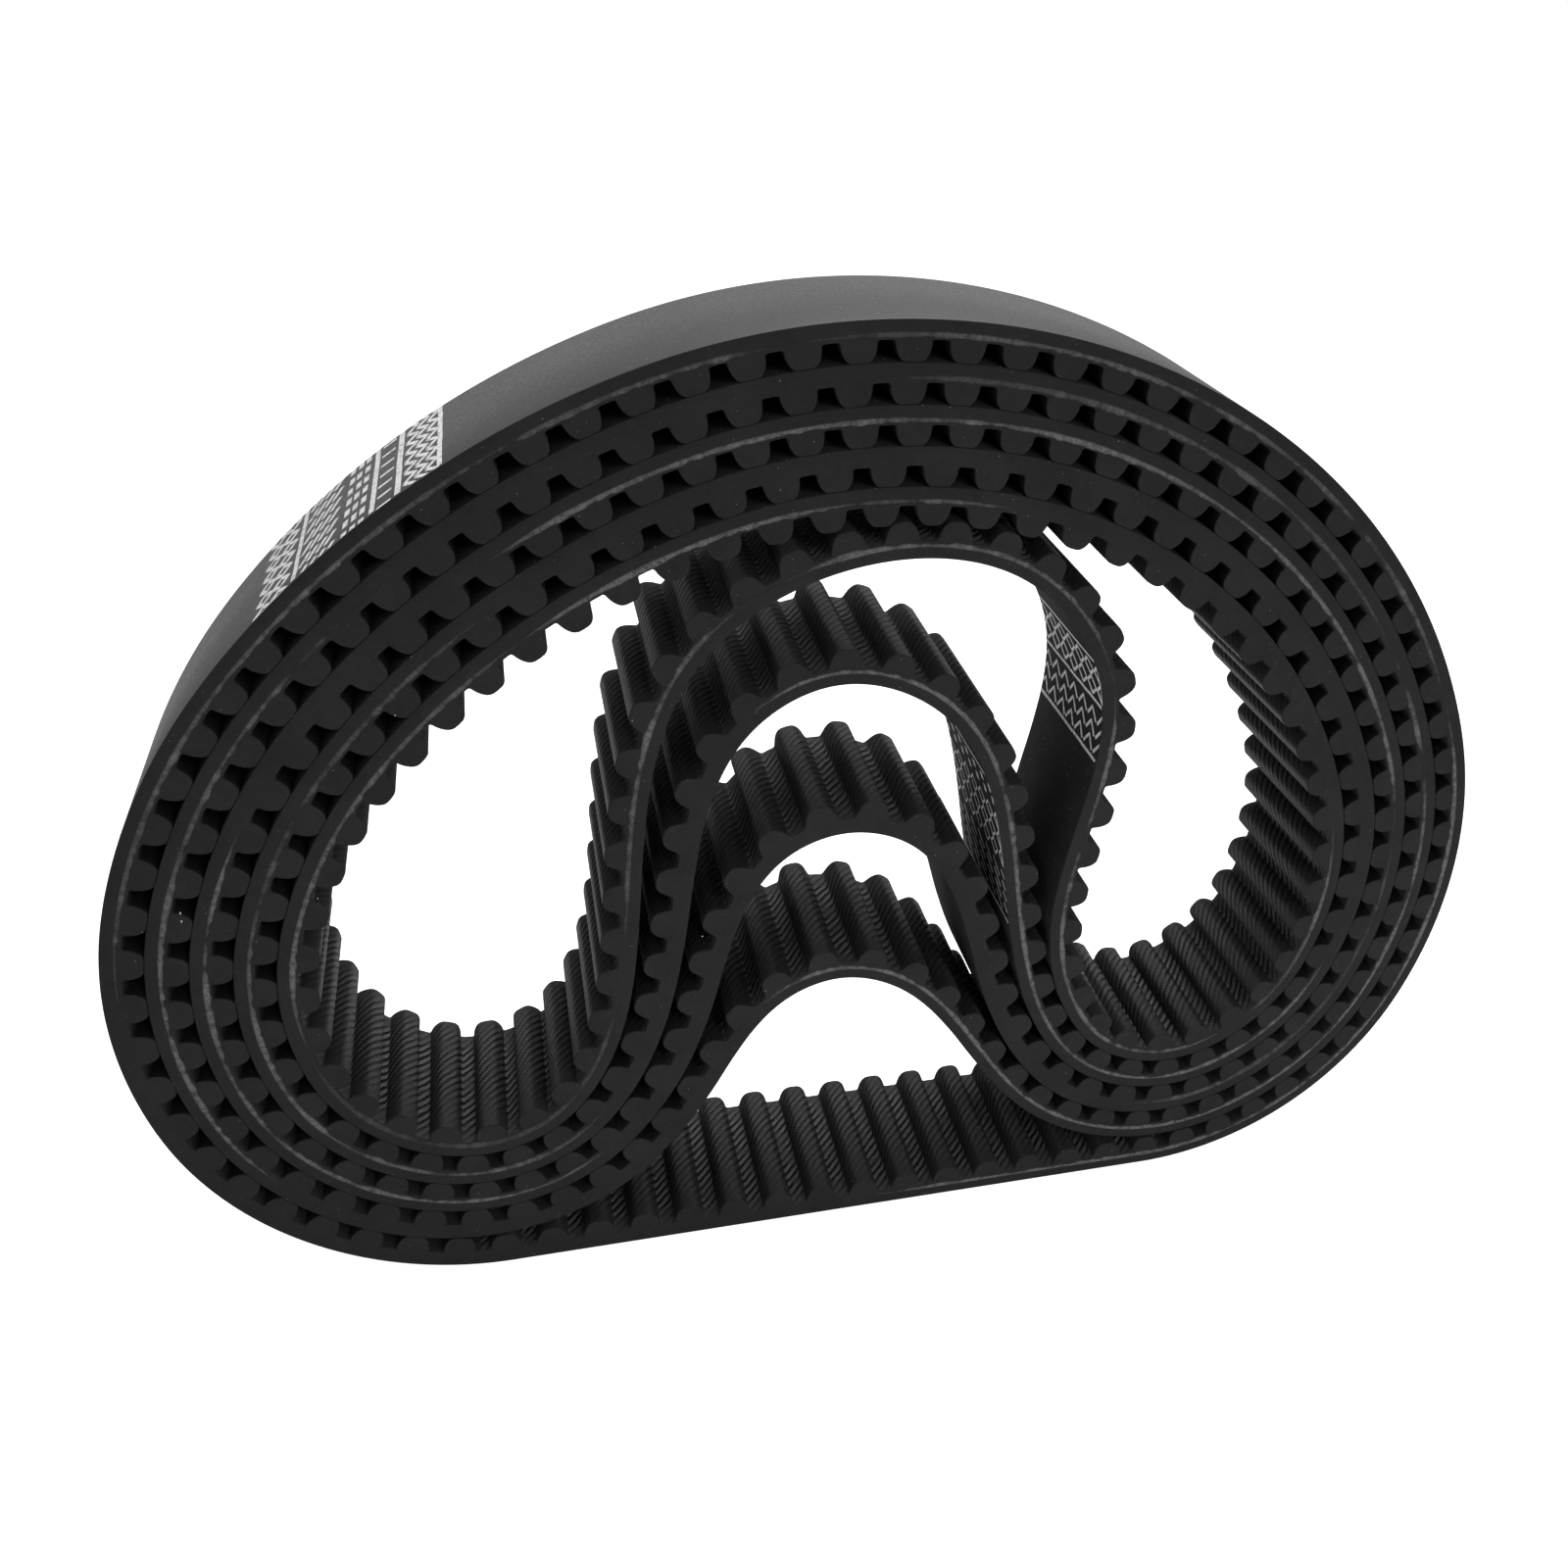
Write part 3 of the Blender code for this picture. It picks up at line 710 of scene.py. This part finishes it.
class BELTS_OT_cut_yarn(Operator):
    """Lay cut cord yarn along both edges of each belt where the saw has bared it"""
    bl_idname = "belts.cut_yarn"
    bl_label = "Cut cord yarn"

    def execute(self, context):
        sizes = context.scene.belt_sizes
        near, far = edges_of(sizes)
        for belt in BELTS:
            for side, edge, out, onward in (("near", near, -1, 0.0), ("far", far, 1, LOOP / 2)):
                shape = bmesh.new()
                shape.verts.layers.float.new("fibre")
                shape.loops.layers.uv.new("UVMap")
                for number, (start, end, shown) in enumerate(YARN_RUNS[belt]):
                    run = start + onward, end + onward, shown
                    self.lay(shape, sizes, BACKS[belt], run, edge, out, 10 * belt + number)
                bmesh.ops.recalc_face_normals(shape, faces=shape.faces)
                finish_piece(shape, f"belt_{belt}_yarn_{side}", belt, "tensile_cord", ("yarn",))
        return {"FINISHED"}

    def lay(self, shape, sizes, back, run, edge, out, seed):
        """One bared run: a flat twisted strand that thins out at both ends."""
        start, end, shown = run
        count = int((end - start) / STRAND_STEP)
        places = np.linspace(start, end, count)
        dice = np.random.default_rng(seed)
        rough, slow, drift = (self.waver(dice, count, *reach)
                              for reach in ((3, 3), (21, 30), (61, 80)))
        ends = np.clip(np.minimum(places - start, end - places) / STRAND_FADE, 0, 1)
        width = sizes.yarn / MM / 2 * (0.25 + 0.75 * ends) * (1 + 0.22 * rough + 0.8 * slow)
        middle = CORD_MIDDLE + 0.06 * rough + 0.12 * slow
        hump = np.abs(np.sin(places * math.pi / STRAND_TWIST))
        stand = (sizes.recess / MM - STRAND_LOW) * (0.6 + 0.4 * hump)
        fibre = np.clip(shown * (0.1 + 0.9 * ends) * (1 + 0.3 * rough + slow + 2 * drift), 0.02, 1.0)
        turns = np.arange(STRAND_SIDES) * 2 * math.pi / STRAND_SIDES
        girth = sizes.yarn / MM / 3     # mm round the flat strand in each radian of a turn
        tone, uv = shape.verts.layers.float["fibre"], shape.loops.layers.uv["UVMap"]
        feet, ways = back.at(places)
        ring, spots = [], {}
        for i in range(count):
            line = feet[i] + (middle[i] + width[i] * np.cos(turns))[:, None] * ways[i]
            ring = self.next_ring(shape, ring, laid_at(line, edge + out * stand[i] * np.sin(turns)))
            for vert, turn in zip(ring, turns):
                vert[tone] = fibre[i] * (0.3 + 0.7 * abs(math.sin(turn)))
                spots[vert] = places[i], turn * girth
        shape.faces.new(ring)
        for vert, spot in spots.items():
            for loop in vert.link_loops:
                loop[uv].uv = spot

    def waver(self, dice, count, reach, spare):
        """Random values along a run, each the mean of as many neighbours as the reach."""
        values = np.convolve(dice.normal(size=count + 2 * spare), np.ones(reach) / reach, "same")
        return values[spare:-spare]

    def next_ring(self, shape, ring, points):
        """The strand's next section, extruded from the last one, or its first one and lid."""
        if not ring:
            ring = [shape.verts.new(point) for point in points]
            shape.faces.new(ring)
            return ring
        edges = [shape.edges.get(pair) for pair in zip(ring, ring[1:] + ring[:1])]
        made = bmesh.ops.extrude_edge_only(shape, edges=edges)["geom"]
        fresh = [part for part in made if isinstance(part, bmesh.types.BMVert)]
        ring = [next(new for new in fresh if shape.edges.get((new, old))) for old in ring]
        for vert, point in zip(ring, points):
            vert.co = point
        return ring


class BELTS_OT_tooth_rubber(Operator):
    """Make each belt's rubber teeth on the web below the cord"""
    bl_idname = "belts.tooth_rubber"
    bl_label = "Tooth rubber"

    def execute(self, context):
        sizes = context.scene.belt_sizes
        near, far = edges_of(sizes)
        outer = CORD_MIDDLE + sizes.cord_width / MM / 2
        for belt in BELTS:
            line, normals, places, _, _ = toothed_line(belt, sizes)
            under = line - sizes.facing / MM * normals
            back = BACKS[belt].at(places, outer)[0]
            rings = [laid_at(edge, y) for edge, y in
                     ((back, near), (back, far), (under, far), (under, near))]
            shape = skin(rings, run_length(line))
            soften(shape)
            finish_piece(shape, f"belt_{belt}_tooth_rubber", belt, "faced_rubber", ("cut", "cut"),
                         f"belt_{belt}_teeth")
        return {"FINISHED"}


class BELTS_OT_woven_facing(Operator):
    """Cover each belt's teeth and lands with their woven facing"""
    bl_idname = "belts.woven_facing"
    bl_label = "Woven facing"

    def execute(self, context):
        sizes = context.scene.belt_sizes
        near, far = edges_of(sizes)
        edge = sizes.cut_edge / MM
        for belt in BELTS:
            line, normals, _, rises, nested = toothed_line(belt, sizes)
            under = line - sizes.facing / MM * normals
            sunk = line - edge * normals
            rings = [laid_at(run, y) for run, y in
                     ((sunk, near), (line, near + edge), (line, far - edge), (sunk, far),
                      (under, far), (under, near))]
            shape = skin(rings, run_length(line))
            rise = shape.verts.layers.float.new("rise")
            # shut_in marks where the facing gets painted shade in a shut gap
            shut_in = shape.verts.layers.float.new("shut_in")
            station = shape.verts.layers.int["station"]
            for vert in shape.verts:
                vert[rise] = rises[vert[station]] / (CREST - LAND)
                vert[shut_in] = float(nested[vert[station]])
            soften(shape)
            finish_piece(shape, f"belt_{belt}_facing", belt, "faced_rubber", ("facing", "cut"))
        return {"FINISHED"}


class BELTS_OT_back_print(Operator):
    """Stamp rows of plain ornament across the backs of three belts"""
    bl_idname = "belts.back_print"
    bl_label = "Back print"

    def execute(self, context):
        ink = context.scene.belt_sizes.ink / MM
        for belt, bands in PRINTS.items():
            dice = np.random.default_rng(belt)
            shape = bmesh.new()
            for mark, start, count, step, along, reach, width in bands:
                for place in start + step * np.arange(count):
                    for row in PRINT_ROWS:
                        path = self.path(mark, along, reach) + (place, row)
                        path += dice.normal(scale=PRINT_SCATTER, size=2)
                        self.stroke(shape, BACKS[belt], path, width, ink)
            bmesh.ops.solidify(shape, geom=shape.faces, thickness=ink * FILM * MM)
            bmesh.ops.recalc_face_normals(shape, faces=shape.faces)
            finish_piece(shape, f"belt_{belt}_print", belt, "back_rubber", ("ink",))
        return {"FINISHED"}

    def path(self, mark, along, reach):
        """The middle line of one mark, along the belt from its place and about its row."""
        half = reach / 2
        corners = {"line": ((along / 2, -half), (along / 2, half)),
                   "dash": ((0.0, 0.0), (along, 0.0)),
                   "slant": ((0.0, -half), (along, half)),
                   "arrow": ((0.0, half), (along, 0.0), (0.0, -half)),
                   "lozenge": ((0.0, 0.0), (along / 2, half), (along, 0.0), (along / 2, -half),
                               (0.0, 0.0))}
        return np.array(corners[mark])

    def stroke(self, shape, back, path, width, lift):
        """A strip of ink along a path, extruded rung by rung and cut off at the belt's edges."""
        steps = [np.linspace(a, b, max(2, int(math.dist(a, b) / PRINT_STEP) + 1))[:-1]
                 for a, b in zip(path[:-1], path[1:])]
        path = np.vstack([*steps, path[-1:]])
        way = np.gradient(path, axis=0)
        way /= np.hypot(*way.T)[:, None]
        aside = np.c_[-way[:, 1], way[:, 0]] * width / 2
        limit = min(-NEAR, FAR) - PRINT_MARGIN
        kept = np.abs(path[:, 1]) < limit
        path, aside = path[kept], aside[kept]
        if len(path) < 2:
            return
        sides = []
        for line in (path + aside, path - aside):
            y = np.clip(line[:, 1], -limit, limit)
            sides.append(laid_at(back.at(line[:, 0], -lift)[0], y))
        pair = [shape.verts.new(side[0]) for side in sides]
        rung = shape.edges.new(pair)
        for ends in zip(sides[0][1:], sides[1][1:]):
            made = bmesh.ops.extrude_edge_only(shape, edges=[rung])["geom"]
            fresh = [part for part in made if isinstance(part, bmesh.types.BMVert)]
            pair = [next(new for new in fresh if shape.edges.get((new, old))) for old in pair]
            for vert, end in zip(pair, ends):
                vert.co = end
            rung = shape.edges.get(pair)


class BELTS_OT_lint(Operator):
    """Drop a few crumbs of pale lint on the belts"""
    bl_idname = "belts.lint"
    bl_label = "Lint"

    def execute(self, context):
        recess = context.scene.belt_sizes.recess / MM
        for belt, crumbs in LINT.items():
            dice = np.random.default_rng(100 + belt)
            shape = bmesh.new()
            for place, depth, inset, size in crumbs:
                point = BACKS[belt].at([place], depth)[0]
                middle = Vector(laid_at(point, NEAR + max(inset, recess + size / 4))[0])
                made = bmesh.ops.create_icosphere(shape, subdivisions=2, radius=size / 2 * MM)
                stretch = dice.uniform(0.35, 1.0, size=3)
                for vert in made["verts"]:
                    bump = min(max(1 + 0.25 * dice.normal(), 0.6), 1.5)
                    vert.co = Vector(a * b * bump for a, b in zip(vert.co, stretch)) + middle
                    vert.co.y = max(vert.co.y, NEAR * MM)
            for face in shape.faces:
                face.smooth = True
            finish_piece(shape, f"belt_{belt}_lint", belt, "faced_rubber", ("lint",))
        return {"FINISHED"}


class BELTS_OT_studio(Operator):
    """Set up the pale floor, the even white room, the soft boxes and the camera"""
    bl_idname = "belts.studio"
    bl_label = "Studio"

    def execute(self, context):
        scene = context.scene
        studio = scene.belt_studio
        self.floor(scene, studio)
        self.room(scene, studio)
        for name, size, place, aim, height in SOFT_BOXES:
            self.soft_box(scene, name, getattr(studio, name), size, place, aim, height or size)
        self.camera(scene, studio)
        scene.view_settings.view_transform = "Standard"
        return {"FINISHED"}

    def floor(self, scene, studio):
        shape = bmesh.new()
        bmesh.ops.create_circle(shape, cap_ends=True, segments=96, radius=FLOOR_RADIUS)
        mesh = bpy.data.meshes.new("floor")
        shape.to_mesh(mesh)
        shape.free()
        floor = bpy.data.objects.new("floor", mesh)
        floor.location.z = -FLOOR_DROP
        scene.collection.objects.link(floor)
        paint = Look("floor_paint")
        rays = paint.add("ShaderNodeLightPath").outputs
        seen = paint.math("MAXIMUM", rays["Is Camera Ray"], rays["Is Transmission Ray"])
        paint.set(Base_Color=(*studio.floor, 1.0), Roughness=0.9, Specular_IOR_Level=0.1,
                  Emission_Color=(1.0, 1.0, 1.0, 1.0),
                  Emission_Strength=paint.math("MULTIPLY", seen, studio.glow))
        mesh.materials.append(paint.material)

    def room(self, scene, studio):
        """Even light all round, a backdrop of its own in gloss, and white for the camera."""
        world = bpy.data.worlds.new("room")
        world.use_nodes = True
        scene.world = world
        tree = world.node_tree
        rays = tree.nodes.new("ShaderNodeLightPath").outputs
        strength = studio.room
        for ray, seen in (("Is Glossy Ray", studio.backdrop), ("Is Transmission Ray", 1.0),
                          ("Is Camera Ray", 1.0)):
            level = tree.nodes.new("ShaderNodeMix")
            feed(tree, level.inputs[0], rays[ray])
            feed(tree, level.inputs[2], strength)
            feed(tree, level.inputs[3], seen)
            strength = level.outputs[0]
        background = tree.nodes["Background"]
        feed(tree, background.inputs[0], (1.0, 1.0, 1.0, 1.0))
        feed(tree, background.inputs[1], strength)

    def soft_box(self, scene, name, power, width, place, aim, height):
        light = bpy.data.lights.new(f"{name}_box", "AREA")
        light.energy = power
        light.shape = "DISK" if height == width else "RECTANGLE"
        light.size = width
        light.size_y = height
        lamp = bpy.data.objects.new(f"{name}_box", light)
        lamp.location = place
        way = Vector(aim) - Vector(place)
        lamp.rotation_euler = way.to_track_quat("-Z", "Y").to_euler()
        scene.collection.objects.link(lamp)

    def camera(self, scene, studio):
        lens = bpy.data.cameras.new("camera")
        lens.lens = studio.lens
        lens.sensor_width = 36.0
        lens.clip_start = 0.01
        lens.shift_x, lens.shift_y = CAMERA_SHIFT
        camera = bpy.data.objects.new("camera", lens)
        camera.location = CAMERA_PLACE
        camera.rotation_euler = [math.radians(angle) for angle in CAMERA_TURN]
        scene.collection.objects.link(camera)
        scene.camera = camera


STEPS = (BELTS_OT_back_rubber, BELTS_OT_tensile_cord, BELTS_OT_cut_yarn, BELTS_OT_tooth_rubber,
         BELTS_OT_woven_facing, BELTS_OT_back_print, BELTS_OT_lint, BELTS_OT_studio)


class BELTS_PT_sidebar(Panel):
    """The sizes, colours and studio settings, and a button for each step"""
    bl_idname = "BELTS_PT_sidebar"
    bl_label = "Timing belts"
    bl_space_type = "VIEW_3D"
    bl_region_type = "UI"
    bl_category = "Timing belts"

    def draw(self, context):
        column = self.layout.column()
        for group in ("belt_sizes", "belt_colours", "belt_studio"):
            settings = getattr(context.scene, group)
            box = column.box()
            for name in settings.__annotations__:
                box.prop(settings, name)
        for step in STEPS:
            column.operator(step.bl_idname)


GROUPS = {"belt_sizes": BeltSizes, "belt_colours": BeltColours, "belt_studio": StudioLook}
CLASSES = (*GROUPS.values(), *STEPS, BELTS_PT_sidebar)


def register():
    for made in CLASSES:
        bpy.utils.register_class(made)
    for name, group in GROUPS.items():
        setattr(bpy.types.Scene, name, PointerProperty(type=group))


def unregister():
    for name in GROUPS:
        delattr(bpy.types.Scene, name)
    for made in reversed(CLASSES):
        bpy.utils.unregister_class(made)


def main():
    register()
    for step in STEPS:
        family, name = step.bl_idname.split(".")
        getattr(getattr(bpy.ops, family), name)()


if __name__ == "__main__":
    main()
